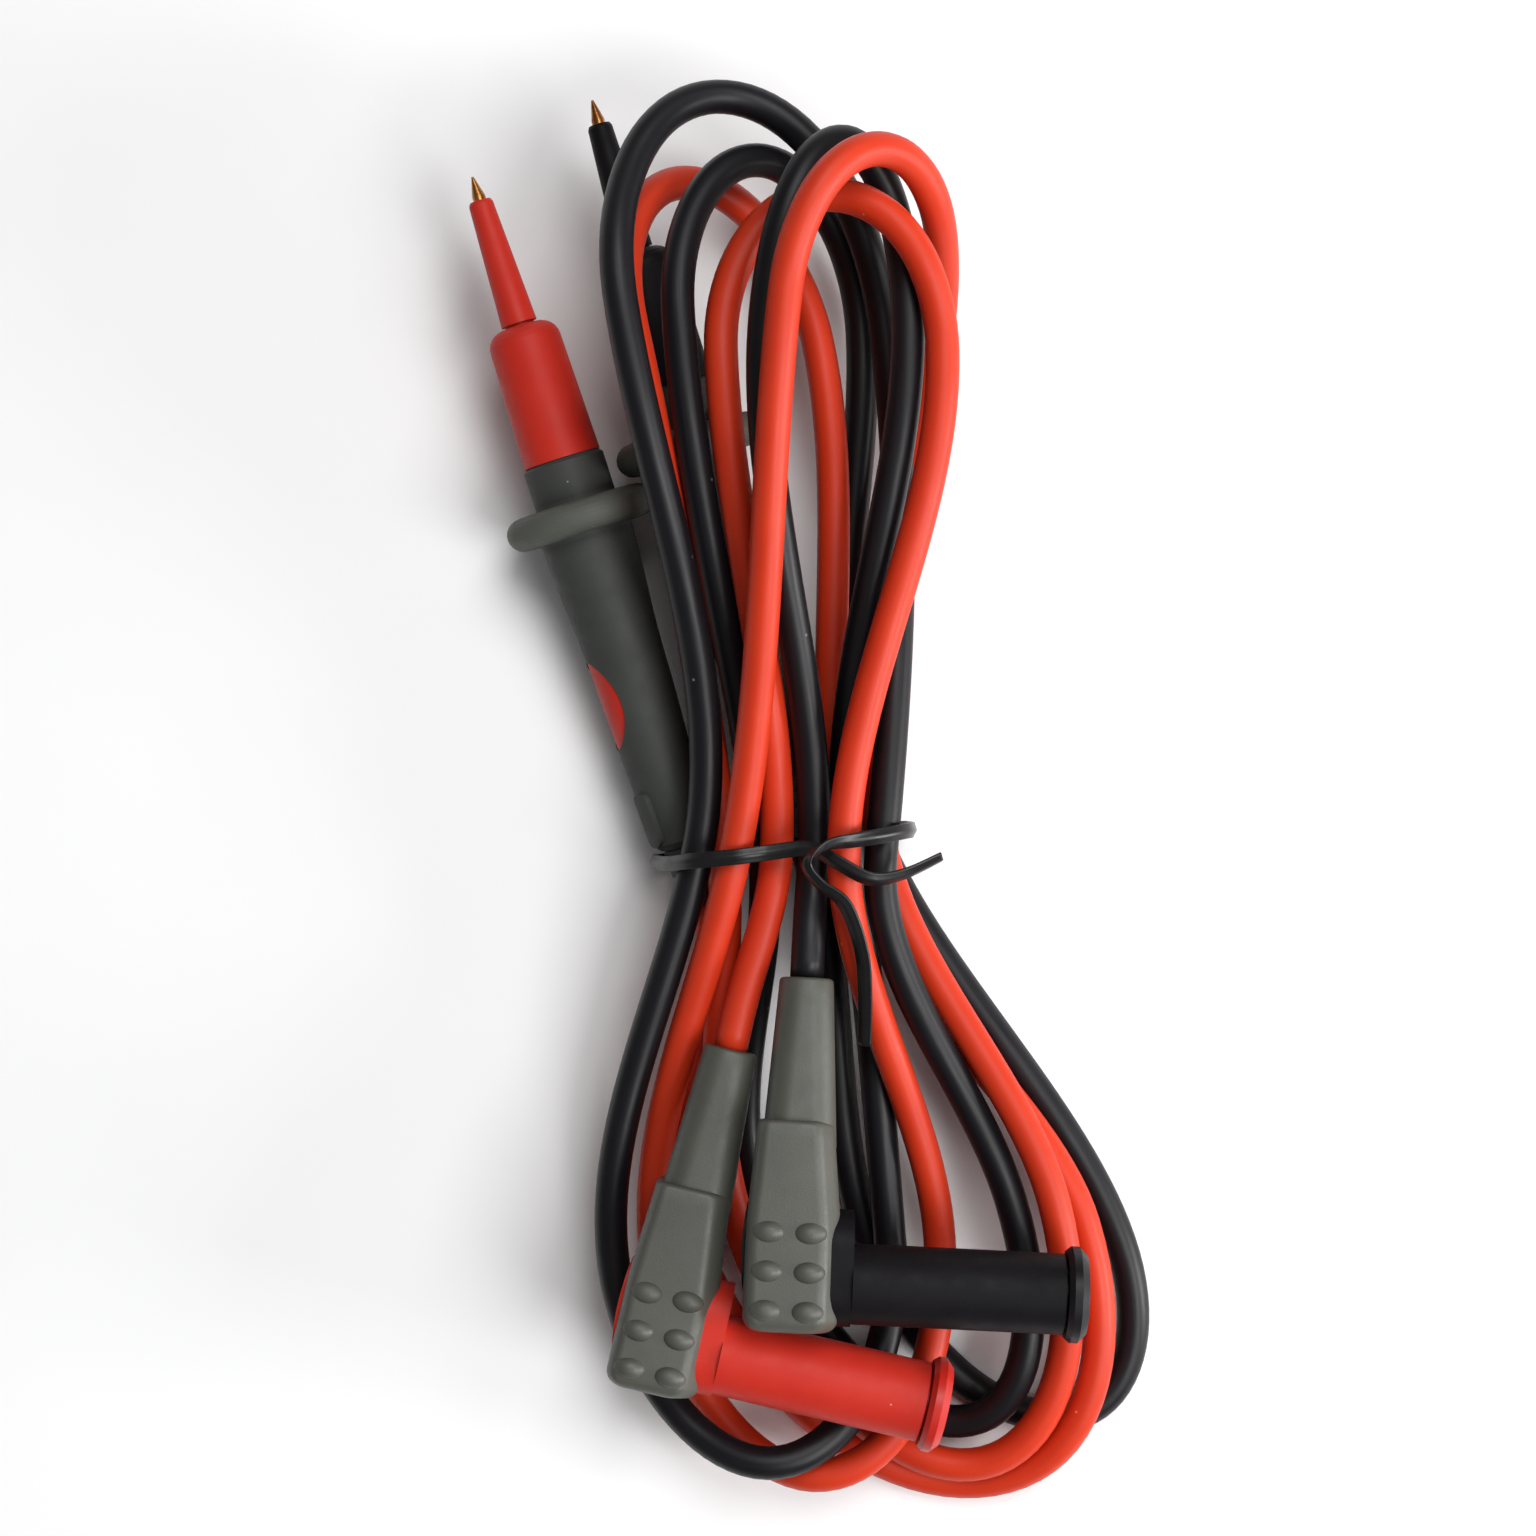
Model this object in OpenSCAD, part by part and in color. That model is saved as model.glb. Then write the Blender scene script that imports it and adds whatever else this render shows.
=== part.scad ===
// A pair of multimeter test leads, one red and one black, wound in a hank and held by a twist tie.
// Millimetres, +Z up. The hank lies on the plane z = 0 with its long axis along Y.

/* [Cable] */
// Outside diameter of each cable
cable_d = 4.0; // [3.2:0.1:4.0]
// Diameter of the stranded conductor inside the cable
conductor_d = 1.4; // [0.8:0.1:1.8]
// Straight run of cable at each end
cable_straight = 4.0; // [3:0.5:6]

/* [Probe] */
// Diameter of the test needle
needle_d = 1.6; // [1.2:0.1:2.0]
// Length of needle that stays bare
needle_bare = 3.0; // [2:0.5:5]
// Length of the conical point of the needle
needle_point = 2.4; // [1:0.2:3]
// Diameter of the needle's shank in the core
shank_d = 2.8; // [2.4:0.1:3.2]
// Length of the removable tip sleeve
sleeve_len = 15.6; // [12:0.2:20]
// Diameter of the tip sleeve at the needle end
sleeve_tip_d = 3.0; // [2.9:0.1:3.8]
// Diameter of the tip sleeve where it meets the nose
sleeve_base_d = 4.4; // [3.8:0.1:4.8]
// Length of the sleeve's spigot inside the nose
spigot_len = 4.0; // [3:0.5:5]
// Diameter of the sleeve's spigot
spigot_d = 3.6; // [3.2:0.1:3.8]
// Length of the coloured nose
nose_len = 16.7; // [14:0.1:20]
// Diameter of the nose behind its shoulder
nose_front_d = 8.8; // [8.4:0.1:9.8]
// Diameter of the nose where it meets the grip
nose_rear_d = 9.5; // [8.6:0.1:10]
// Radius of the nose's shoulder
shoulder_r = 2.2; // [1:0.1:2.2]
// Diameter of the core inside the grip
core_d = 6.0; // [5.4:0.1:6.2]
// Length of the collar in front of the finger guard
collar_len = 5.4; // [3:0.1:8]
// Diameter of the collar
collar_d = 10.0; // [9.6:0.1:11]
// Diameter of the finger guard
guard_d = 18.6; // [16:0.2:20]
// Thickness of the finger guard
guard_t = 4.0; // [3:0.5:5]
// Length of the handle behind the finger guard
handle_len = 39.8; // [36:0.2:44]
// Diameter of the handle behind the guard
handle_front_d = 11.4; // [10.6:0.1:12]
// Diameter of the handle at its waist
handle_mid_d = 9.6; // [9.0:0.1:10.4]
// Diameter of the handle at its rear
handle_rear_d = 7.6; // [7.2:0.1:8.6]
// Length of the coloured window in the handle
window_len = 11.2; // [8:0.2:13]
// Width of the coloured window
window_w = 7.0; // [4:0.2:7.4]
// Distance from the finger guard to the middle of the window
window_back = 20.7; // [16:0.1:24]
// Length of the raised rib at the rear of the handle
rib_len = 7.0; // [4:0.5:8]
// Width of the raised rib
rib_w = 2.2; // [1.5:0.1:3]
// Height of the raised rib
rib_h = 0.7; // [0.3:0.1:1]
// Length of the boot behind the handle
boot_len = 7.7; // [6:0.1:12]
// Diameter of the boot
boot_d = 5.6; // [5.0:0.1:6.0]
// Length of the boot's root inside the grip
boot_root_len = 6.0; // [4:0.5:7]
// Diameter of the boot's root
boot_root_d = 5.0; // [4.2:0.1:5.2]
// Number of flex grooves round the boot
boot_grooves = 3; // [1:1:4]

/* [Plug] */
// Diameter of the plug pin
pin_d = 4.0; // [3.6:0.1:4.4]
// Length of plain pin at its base
pin_base_len = 5.0; // [4:0.5:6]
// Length of the spring groove in the pin
spring_len = 11.0; // [9:0.5:12]
// Length of the pin's nose past the spring
pin_nose_len = 4.5; // [3:0.5:6]
// Diameter of the pin in the spring groove
groove_d = 2.6; // [2.2:0.1:3.0]
// Distance the spring's leaves stand proud of the pin
spring_proud = 0.15; // [0.05:0.05:0.2]
// Thickness of the spring's leaves
leaf_t = 0.2; // [0.15:0.05:0.3]
// Number of leaves on the spring
leaf_count = 6; // [4:1:8]
// Outside diameter of the plug's shroud
shroud_d = 9.4; // [9.2:0.1:10]
// Inside diameter of the shroud
shroud_bore = 7.5; // [7.3:0.1:7.8]
// Distance from the cable's axis to the shroud's mouth
shroud_reach = 31.7; // [30:0.1:34]
// Distance the coloured collar stands proud of the grip
collar_proud = 1.2; // [0.8:0.1:1.6]
// Distance the coloured back stands proud of the grip
back_proud = 0.5; // [0.3:0.1:1]
// Length of the coloured block along the cable
block_len = 13.6; // [12:0.2:14]
// Height of the coloured block
block_h = 8.4; // [8:0.1:8.6]
// Length of the plug's grip
grip_len = 24.5; // [23:0.1:27]
// Distance from the pin's axis to the grip's far end
grip_drop = 5.8; // [5.6:0.1:6.6]
// Width of the grip at its far end
grip_w = 11.4; // [10.6:0.1:12]
// Width of the grip at the cable end
grip_neck_w = 9.6; // [9.2:0.1:10.4]
// Thickness of the grip
grip_t = 10.6; // [10.4:0.1:12]
// Radius of the grip's edges
grip_r = 2.2; // [1.4:0.1:2.4]
// Length of each grip bump
bump_len = 3.9; // [2:0.1:4.4]
// Width of each grip bump
bump_w = 2.6; // [1.6:0.1:3.2]
// Height of each grip bump
bump_h = 0.7; // [0.3:0.1:0.9]
// Length of the tail behind the grip
tail_len = 16.8; // [14:0.2:20]
// Width of the tail at the grip
tail_root_w = 8.8; // [8:0.1:9]
// Width of the tail at the cable
tail_end_w = 6.4; // [5.8:0.1:7]
// Length of the tail's root inside the grip
tail_root_len = 3.0; // [2:0.5:4]
// Diameter of the protective cap's flange
flange_d = 11.2; // [10.6:0.1:12]
// Thickness of the cap's flange
flange_t = 2.4; // [1.8:0.1:3]
// Length of the cap's tube inside the shroud
cap_tube_len = 17.7; // [14:0.1:17.8]
// Outside diameter of the cap's tube
cap_tube_d = 6.9; // [6.7:0.1:6.9]
// Inside diameter of the cap's tube
cap_tube_bore = 5.9; // [5.7:0.1:6.0]

/* [Twist tie] */
// Diameter of the twist tie
tie_d = 1.4; // [1.0:0.1:1.4]

/* [Fits] */
// Gap round pieces that are pressed or moulded together
fit_gap = 0.05; // [0.02:0.01:0.1]
// Gap round pieces that slide
slide_gap = 0.3; // [0.2:0.05:0.3]

/* [Hidden] */
$fn = 48;

// Colours
gold = "#c8963c";
nickel = "#b9b6ac";
red_moulding = "#cb3e34";
red_jacket = "#dc5037";
black_moulding = "#201e23";
black_jacket = "#2d2b2c";
grip_grey = "#42433f";
plug_grey = "#64665f";

// Stations along a probe, measured from the needle's point
sleeve_at = needle_bare;
nose_at = sleeve_at + sleeve_len;
collar_at = nose_at + nose_len;
guard_at = collar_at + collar_len + guard_t / 2;
handle_at = guard_at + guard_t / 2;
boot_at = handle_at + handle_len;
probe_len = boot_at + boot_len;
boot_root_at = boot_at - boot_root_len;
core_end = boot_root_at - slide_gap;
shank_at = nose_at + spigot_len + 2;
cup_end = guard_at - 2;
crimp_len = 6;
crimp_d = 2.6;
conductor_hole = conductor_d + 2 * fit_gap;
rear_edge = 0.8;
window_at = handle_at + window_back;
window_turn = 165;
window_floor = 0.4;
rib_at = boot_at - rear_edge - rib_len / 2;
rib_turn = 140;
rib_root = core_d / 2 + 0.6;

// Stations along a plug's pin, measured from the cable's axis
block_wall = 1.3;
block_out = grip_w / 2 + collar_proud;
block_in = grip_w / 2 - block_wall;
block_low = 0.8 - grip_drop;
back_out = grip_w / 2 + back_proud;
back_len = block_len - 2.6;
back_h = block_h - 2;
back_mid = block_low + (block_len + 2.6) / 2 + 0.4;
back_bow = (back_len * back_len / 4 + back_proud * back_proud) / (2 * back_proud);
floor_t = 1.3;
shroud_floor = block_out + floor_t;
spring_d = pin_d + 2 * spring_proud;
pin_shoulder_d = pin_d + 0.8;
pin_shoulder = shroud_floor + 0.6;
pin_groove = pin_shoulder + pin_base_len;
pin_nose = pin_groove + spring_len;
pin_end = pin_nose + pin_nose_len;
pin_root = -2.0;
cap_mouth = shroud_reach + slide_gap;
tail_at = grip_len - grip_drop;
tail_end = tail_at + tail_len;
plug_crimp_at = pin_shoulder_d / 2 + fit_gap;
plug_crimp_end = 14;

// Two rows of three bumps on each face of a plug's grip
bump_rows = [-3.2, 1.8];
bump_steps = [-3.2, 1.3, 5.8];

// Where the four ends of the leads lie: rear ends and headings of the probes, which rest on their guards,
// then axes and headings of the plugs
probe_pitch = 5.0;
probe_back = [[-7.9, -16.6], [4.2, -8.1]];
probe_turn = [17.5, 16.0];
plug_axis = [[-12.5, -68.1, 16.6], [2.9, -60.2, 20.5]];
plug_turn = [-13.1, -2.8];
plug_pitch = [4.0, 7.0];

// The hank. Each lead runs three times round: up through the tie, over a top bend, down through the tie,
// round a bottom bend. At the tie each pass has [x, z, sideways slope, rise].
tie_y = -10.5;
on_table = cable_d / 2 + 0.1;
red_pass = [[1, 13.5, 0.05, 0], [9, 17, 0, 0], [-4, 16, 0.2, 0.15],
    [14, 8.5, -0.2, -0.05], [-5.5, 9, -0.1, -0.1], [9.5, 5.5, -0.2, 0.15]];
black_pass = [[5.5, 13.5, 0.05, 0], [10, 10, -0.15, 0.1], [-8.5, 13, 0.2, 0.05],
    [13.5, 14.5, 0.1, -0.05], [-0.5, 9.5, -0.1, 0.05], [14, 4, -0.45, -0.1]];
// Each bend has [centre x, half width, reach in y, depth, lean, five heights from entry to exit].
red_top = [[7.5, 13, 67, 18, -0.5, [22.5, 22, 22, 23, 20.5]],
    [11.5, 9.5, 71, 16.5, 2, [31, 32, 27.5, 20, 6.5]],
    [-5, 11, 70.5, 18.5, -4, [22.5, 18, 12, 8, 8.5]]];
black_top = [[8, 8.5, 73, 24, 1, [25.5, 26.5, 22.5, 18.5, 18.5]],
    [-1.5, 15.5, 79.5, 25, -3.5, [28.5, 23, 17.5, 15, 10]],
    [0.5, 11, 72.5, 19, -1, [23, 20, 15, 8, 5.5]]];
red_bottom = [[3.5, -17.5, -86, 28.5, 2, [6.5, 9, 9, 4, 6.5]],
    [15, -19.5, -85.5, 33, 8.5, [12, 9, 6, 4.5, 7]],
    [14, -24.5, -88.5, 33, 10, [8, 7, 2.5, on_table, on_table]]];
black_bottom = [[-2, -17, -83.5, 25, 2, [6.5, 10, 13, 9, 8.5]],
    [14, -15.5, -80.5, 28, 8.5, [9, 9, 4.5, on_table, 3]],
    [28, -15.5, -80.5, 22, 7.5, [3.5, 2.5, on_table, on_table, on_table]]];
passes = [red_pass, black_pass];
tops = [red_top, black_top];
bottoms = [red_bottom, black_bottom];
leg_steps = 7;
bend_steps = 10;
cable_sides = 6;

// The twist tie's route: first tail, round the bundle, then the second tail
tie_low = tie_d / 2 + 0.1;
tie_route = [[20.5, -10.5, 18], [16, -12.5, 19], [12, -13, 20.5], [8, -11, 20.5], [5, -9.5, 19],
    [0, -10, 18.5], [-4, -10.5, 19], [-9, -11, 17.5], [-12, -11.5, 13], [-14, -11.5, 6.5],
    [-13, -11.5, 3], [-9.5, -11, 1.5], [0, -10, tie_low], [9, -8.5, tie_low], [14, -8, tie_low],
    [16.5, -7.5, 2], [17.5, -7.5, 6], [17.5, -7.5, 10.5], [16.5, -7.5, 15.5], [13.5, -8, 18.5],
    [10, -8.5, 20.5], [7, -9, 22], [4.5, -11, 22], [6, -13.5, 21.5], [9, -16, 21], [11, -21.5, 19.5],
    [11.5, -27, 17.5], [11.5, -33, 15.5]];
tie_steps = 5;
tie_sides = 6;

// Curves
function unit(v) = v / norm(v);
function ease(a, b, slope_a, slope_b, run, t) =
    (2 * t * t * t - 3 * t * t + 1) * a + (t * t * t - 2 * t * t + t) * run * slope_a
    + (3 * t * t - 2 * t * t * t) * b + (t * t * t - t * t) * run * slope_b;

// Points of a run between two stations [x, y, z, sideways slope, rise]
function leg(a, b, steps, first) = [for (i = [first:steps]) let (t = i / steps, run = b[1] - a[1])
    [ease(a[0], b[0], a[3], b[3], run, t), a[1] + run * t, ease(a[2], b[2], a[4], b[4], run, t)]];

// Height along a bend, easing through its five heights; u runs from 0 to 4
function bend_height(h, u) = let (k = min(floor(u), 3))
    ease(h[k], h[k + 1], k == 0 ? 0 : (h[k + 1] - h[k - 1]) / 2,
        k == 3 ? 0 : (h[k + 2] - h[k]) / 2, 1, u - k);

// Points of a bend between its ends; up is 1 for a top bend and -1 for a bottom bend
function bend(b, up) = [for (i = [1:bend_steps - 1]) let (a = 180 * i / bend_steps)
    [b[0] - b[1] * cos(a) + b[4] * sin(a), b[2] - up * b[3] * (1 - sin(a)),
        bend_height(b[5], 4 * i / bend_steps)]];
function bend_in(b, up) = [b[0] - b[1], b[2] - up * b[3], b[5][0], up * b[4] / b[3], 0];
function bend_out(b, up) = [b[0] + b[1], b[2] - up * b[3], b[5][4], up * b[4] / b[3], 0];
function pass(p) = [p[0], tie_y, p[1], p[2], p[3]];

// Directions and points of a plug's and a probe's own axes in the shared frame
function plug_dir(i) = [-sin(plug_turn[i]) * cos(plug_pitch[i]), cos(plug_turn[i]) * cos(plug_pitch[i]),
    -sin(plug_pitch[i])];
function probe_dir(i) = [-sin(probe_turn[i]) * cos(probe_pitch), cos(probe_turn[i]) * cos(probe_pitch),
    sin(probe_pitch)];
function probe_end(i) = [probe_back[i][0], probe_back[i][1],
    guard_d / 2 - (probe_len - guard_at) * sin(probe_pitch)];
function probe_tip(i) = probe_end(i) + probe_len * probe_dir(i);
function station(p, d) = [p[0], p[1], p[2], d[0] / d[1], d[2] / d[1]];

// One loop of a lead: up to a top bend, down, and round a bottom bend
function loop(i, k) = concat(
    leg(pass(passes[i][2 * k]), bend_in(tops[i][k], 1), leg_steps, 1), bend(tops[i][k], 1),
    leg(bend_out(tops[i][k], 1), pass(passes[i][2 * k + 1]), leg_steps, 0),
    leg(pass(passes[i][2 * k + 1]), bend_in(bottoms[i][k], -1), leg_steps, 1), bend(bottoms[i][k], -1),
    k == 2 ? [] : leg(bend_out(bottoms[i][k], -1), pass(passes[i][2 * k + 2]), leg_steps, 0));

// The whole route of a lead from the plug's tail to the probe's boot
function cable_route(i) = let (
    start = plug_axis[i] + tail_end * plug_dir(i),
    out = start + cable_straight * plug_dir(i),
    end = probe_end(i),
    near = end - cable_straight * probe_dir(i))
    concat([start, (start + out) / 2, out],
        leg(station(out, plug_dir(i)), pass(passes[i][0]), 5, 1),
        [for (k = [0:2]) each loop(i, k)],
        leg(bend_out(bottoms[i][2], -1), station(near, probe_dir(i)), leg_steps + 2, 0),
        [(near + end) / 2, end]);

// A smooth line through hand-placed points
function smooth_at(p, k, t) = let (n = len(p) - 1, a = p[k], b = p[k + 1],
    ma = (b - p[max(k - 1, 0)]) / 2, mb = (p[min(k + 2, n)] - a) / 2)
    (2 * t * t * t - 3 * t * t + 1) * a + (t * t * t - 2 * t * t + t) * ma
    + (3 * t * t - 2 * t * t * t) * b + (t * t * t - t * t) * mb;
function smooth(p, steps) = concat(
    [for (k = [0:len(p) - 2], i = [0:steps - 1]) smooth_at(p, k, i / steps)], [p[len(p) - 1]]);

// Least gap of a tube to itself, measured on points between its rings
function split(p, n) = [for (i = [0:len(p) - 2], j = [0:n - 1]) p[i] + (p[i + 1] - p[i]) * j / n];
function self_gap(p, d, skip) = min([for (i = [0:len(p) - 1 - skip])
    min([for (j = [i + skip:len(p) - 1]) norm(p[i] - p[j])])]) - d;

// A tube of constant diameter along a line, with flat ends
module tube(route, d, sides) {
    n = len(route);
    along = [for (i = [0:n - 1]) unit(route[min(i + 1, n - 1)] - route[max(i - 1, 0)])];
    side = [for (i = 0, u = unit(cross(along[0], [0.3, 0.2, 1])); i < n;
        i = i + 1, u = unit(u - along[min(i, n - 1)] * (u * along[min(i, n - 1)]))) u];
    rings = [for (i = [0:n - 1], k = [0:sides - 1]) let (a = 360 * k / sides)
        route[i] + d / 2 * (cos(a) * side[i] + sin(a) * cross(along[i], side[i]))];
    walls = [for (i = [0:n - 2], k = [0:sides - 1])
        let (a = i * sides + k, b = i * sides + (k + 1) % sides)
            each [[a, a + sides, b], [b, a + sides, b + sides]]];
    first = [for (k = [1:sides - 2]) [0, k, k + 1]];
    last = [for (k = [1:sides - 2]) [(n - 1) * sides, (n - 1) * sides + k + 1, (n - 1) * sides + k]];
    polyhedron(rings, concat(walls, first, last));
}

// A bar with round ends in the XY plane, its long way along Y
module slot_shape(len, w) {
    for (y = [w / 2 - len / 2, len / 2 - w / 2]) {
        translate([0, y]) circle(d = w);
    }
    square([w, len - w], center = true);
}

module at_probe(i) {
    translate(probe_tip(i)) rotate([90 + probe_pitch, 0, probe_turn[i]]) children();
}

module at_plug(i) {
    translate(plug_axis[i]) rotate([-plug_pitch[i], 0, plug_turn[i]]) children();
}

// Turns a shape drawn along +Z to lie along a plug's pin
module along_pin() {
    rotate([0, 90, 0]) children();
}

// Turns a shape drawn along +Z to lie along a plug's cable
module along_tail() {
    rotate([-90, 0, 0]) children();
}

// Probe

module probe_needle() {
    r = needle_d / 2;
    rotate_extrude() polygon([[0, 0], [0.15, 0], [r, needle_point], [r, shank_at], [shank_d / 2, shank_at],
        [shank_d / 2, cup_end], [0, cup_end]]);
}

module tip_sleeve() {
    bore = needle_d / 2 + slide_gap;
    tip = sleeve_tip_d / 2;
    rotate_extrude() polygon([[bore, sleeve_at], [tip - 0.2, sleeve_at], [tip, sleeve_at + 0.4],
        [sleeve_base_d / 2, nose_at - slide_gap], [spigot_d / 2, nose_at - slide_gap],
        [spigot_d / 2, nose_at + spigot_len - 0.4], [spigot_d / 2 - 0.3, nose_at + spigot_len],
        [bore, nose_at + spigot_len]]);
}

// Half of the grip's outer outline, from the collar to the rear of the handle, drawn in by inset
function handle_r(u) = u < 0.4
    ? ease(handle_front_d, handle_mid_d, 0, -1, 0.4, u / 0.4) / 2
    : ease(handle_mid_d, handle_rear_d, -1, -3, 0.6, (u - 0.4) / 0.6) / 2;
function handle_line(inset) = [for (u = [0:0.1:1])
    [handle_r(u) - inset, handle_at + u * (handle_len - rear_edge)]];
function guard_line() = [for (a = [-90:15:90])
    [guard_d / 2 - guard_t / 2 + guard_t / 2 * cos(a), guard_at + guard_t / 2 * sin(a)]];

// Prism of the oval window, standing out sideways from the distance near
module window_cut(gap, near) {
    rotate([0, 0, window_turn]) translate([near, 0, window_at]) rotate([90, 0, 90])
        linear_extrude(handle_front_d) polygon([for (a = [0:10:350])
            [(window_w / 2 + gap) * cos(a), (window_len / 2 + gap) * sin(a)]]);
}

module probe_core() {
    front = nose_front_d / 2;
    socket = spigot_d / 2 + slide_gap;
    socket_end = nose_at + spigot_len + slide_gap;
    shank_bore = shank_d / 2 + fit_gap;
    stem = core_d / 2;
    shoulder = [for (a = [90:-15:0])
        [front - shoulder_r + shoulder_r * cos(a), nose_at + shoulder_r * (1 - sin(a))]];
    rotate_extrude() polygon(concat([[socket, nose_at]], shoulder,
        [[nose_rear_d / 2, collar_at], [stem, collar_at], [stem, core_end], [shank_bore, core_end],
        [shank_bore, shank_at - fit_gap], [needle_d / 2 + fit_gap, shank_at - fit_gap],
        [needle_d / 2 + fit_gap, socket_end], [socket, socket_end]]));
    intersection() {
        window_cut(0, stem - window_floor);
        rotate_extrude() polygon(concat([[stem - window_floor, handle_at]], handle_line(0.15),
            [[stem - window_floor, boot_at]]));
    }
}

module probe_grip() {
    stem_bore = core_d / 2 + fit_gap;
    root_bore = boot_root_d / 2 + fit_gap;
    rear = handle_rear_d / 2;
    difference() {
        union() {
            rotate_extrude() polygon(concat([[stem_bore, collar_at + fit_gap],
                [collar_d / 2 - 0.4, collar_at + fit_gap], [collar_d / 2, collar_at + 0.5],
                [collar_d / 2, guard_at - guard_t / 2]], guard_line(), handle_line(0),
                [[rear - rear_edge, boot_at], [root_bore, boot_at],
                [root_bore, core_end + fit_gap], [stem_bore, core_end + fit_gap]]));
            rotate([0, 0, rib_turn]) intersection() {
                translate([rib_root, 0, rib_at]) rotate([90, 0, 90])
                    linear_extrude(handle_front_d) slot_shape(rib_len, rib_w);
                rotate_extrude() polygon(concat([[rib_root, handle_at]], handle_line(-rib_h),
                    [[rib_root, boot_at - rear_edge]]));
            }
        }
        window_cut(fit_gap, 0);
    }
}

module probe_boot() {
    r = boot_d / 2;
    hole = conductor_hole / 2;
    pitch = boot_len / (boot_grooves + 1);
    groove_w = pitch * 0.35;
    difference() {
        rotate_extrude() polygon([[hole, boot_root_at], [boot_root_d / 2, boot_root_at],
            [boot_root_d / 2, boot_at + fit_gap], [r - 0.2, boot_at + fit_gap], [r, boot_at + 0.4],
            [r - 0.2, probe_len - 0.5], [r - 0.6, probe_len], [hole, probe_len]]);
        for (k = [1:boot_grooves]) {
            translate([0, 0, boot_at + k * pitch]) rotate_extrude()
                translate([r - 0.5, -groove_w / 2]) square([1, groove_w]);
        }
    }
}

module probe_ferrule() {
    rotate_extrude() polygon([[0, cup_end], [crimp_d / 2, cup_end], [crimp_d / 2, cup_end + crimp_len],
        [conductor_d / 2, cup_end + crimp_len], [conductor_d / 2, probe_len], [0, probe_len]]);
}

// Plug

module plug_pin() {
    r = pin_d / 2;
    along_pin() rotate_extrude() polygon([[0, pin_root], [pin_shoulder_d / 2, pin_root],
        [pin_shoulder_d / 2, pin_shoulder], [r, pin_shoulder], [r, pin_groove], [groove_d / 2, pin_groove],
        [groove_d / 2, pin_nose], [r - 0.1, pin_nose], [r - 0.1, pin_end - 1.4], [r - 0.5, pin_end - 0.4],
        [r - 1, pin_end], [0, pin_end]]);
}

// Bowed leaves joined by a ring at each end, seated in the pin's groove
module plug_spring() {
    ring = groove_d / 2 + fit_gap;
    ring_len = 1.2;
    rise = spring_d / 2 - leaf_t - ring;
    run = spring_len - 0.2 - 2 * ring_len;
    start = pin_groove + 0.1;
    bow = [for (u = [0:0.1:1]) [ring + rise * (1 - cos(360 * u)) / 2, start + ring_len + u * run]];
    inner = concat([[ring, start]], bow, [[ring, start + spring_len - 0.2]]);
    slit = 0.8;
    along_pin() difference() {
        rotate_extrude() polygon(concat(inner, [for (k = [len(inner) - 1:-1:0]) inner[k] + [leaf_t, 0]]));
        for (k = [0:leaf_count - 1]) {
            rotate([0, 0, 360 * k / leaf_count]) translate([0, -slit / 2, start + ring_len])
                cube([spring_d, slit, run]);
        }
    }
}

// Block of the coloured body that passes through the grip, seen end on, with room all round
module block_shape(gap) {
    translate([0, block_low + block_len / 2]) slot_shape(block_len + 2 * gap, block_h + 2 * gap);
}

// Smaller round-ended back of the block, which shows through the far side of the grip
module back_shape(gap) {
    translate([0, back_mid]) slot_shape(back_len + 2 * gap, back_h + 2 * gap);
}

module across_grip(from, to) {
    translate([from, 0, 0]) rotate([90, 0, 90]) linear_extrude(to - from) rotate([0, 0, -90]) children();
}

module plug_body() {
    difference() {
        union() {
            across_grip(-block_in, block_out) block_shape(0);
            intersection() {
                across_grip(-back_out, -block_in) back_shape(0);
                translate([back_bow - back_out, back_mid, 0])
                    cylinder(r = back_bow, h = grip_t, center = true, $fn = 180);
            }
            translate([block_out, 0, 0]) along_pin() cylinder(d = shroud_d, h = shroud_reach - block_out);
        }
        translate([shroud_floor, 0, 0]) along_pin() cylinder(d = shroud_bore, h = shroud_reach);
        translate([pin_root - fit_gap, 0, 0]) along_pin()
            cylinder(d = pin_shoulder_d + 2 * fit_gap, h = shroud_floor - pin_root + 1);
        along_tail() cylinder(d = crimp_d + 2 * fit_gap, h = plug_crimp_end);
    }
}

// Rounded, tapering block of the grip
module grip_block() {
    half_t = grip_t / 2 - grip_r;
    hull() {
        for (z = [-half_t, half_t]) {
            for (side = [-1, 1]) {
                translate([side * (grip_w / 2 - grip_r), grip_r - grip_drop, z]) sphere(grip_r, $fn = 24);
                translate([0.3 + side * (grip_neck_w / 2 - grip_r), tail_at - grip_r, z])
                    sphere(grip_r, $fn = 24);
            }
        }
    }
}

// Tapered tail with rounded corners, from its root in the grip to the cable
module tail_block(gap) {
    corner = 3.0;
    root = tail_root_w / 2 - corner;
    tip = tail_end_w / 2 - corner;
    hull() {
        for (x = [-1, 1]) {
            for (z = [-1, 1]) {
                translate([x * root, tail_at - tail_root_len - gap, z * root]) along_tail()
                    cylinder(r = corner + gap, h = 0.1, $fn = 24);
                translate([x * tip, tail_end - 0.1, z * tip]) along_tail()
                    cylinder(r = corner + gap, h = 0.1, $fn = 24);
            }
        }
    }
}

module grip_bump() {
    sag = bump_w / 2 - bump_h;
    translate([0, 0, -sag]) along_pin() rotate_extrude($fn = 24)
        polygon([for (a = [0:15:180]) [bump_w / 2 * sin(a), bump_len / 2 * cos(a)]]);
}

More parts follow.
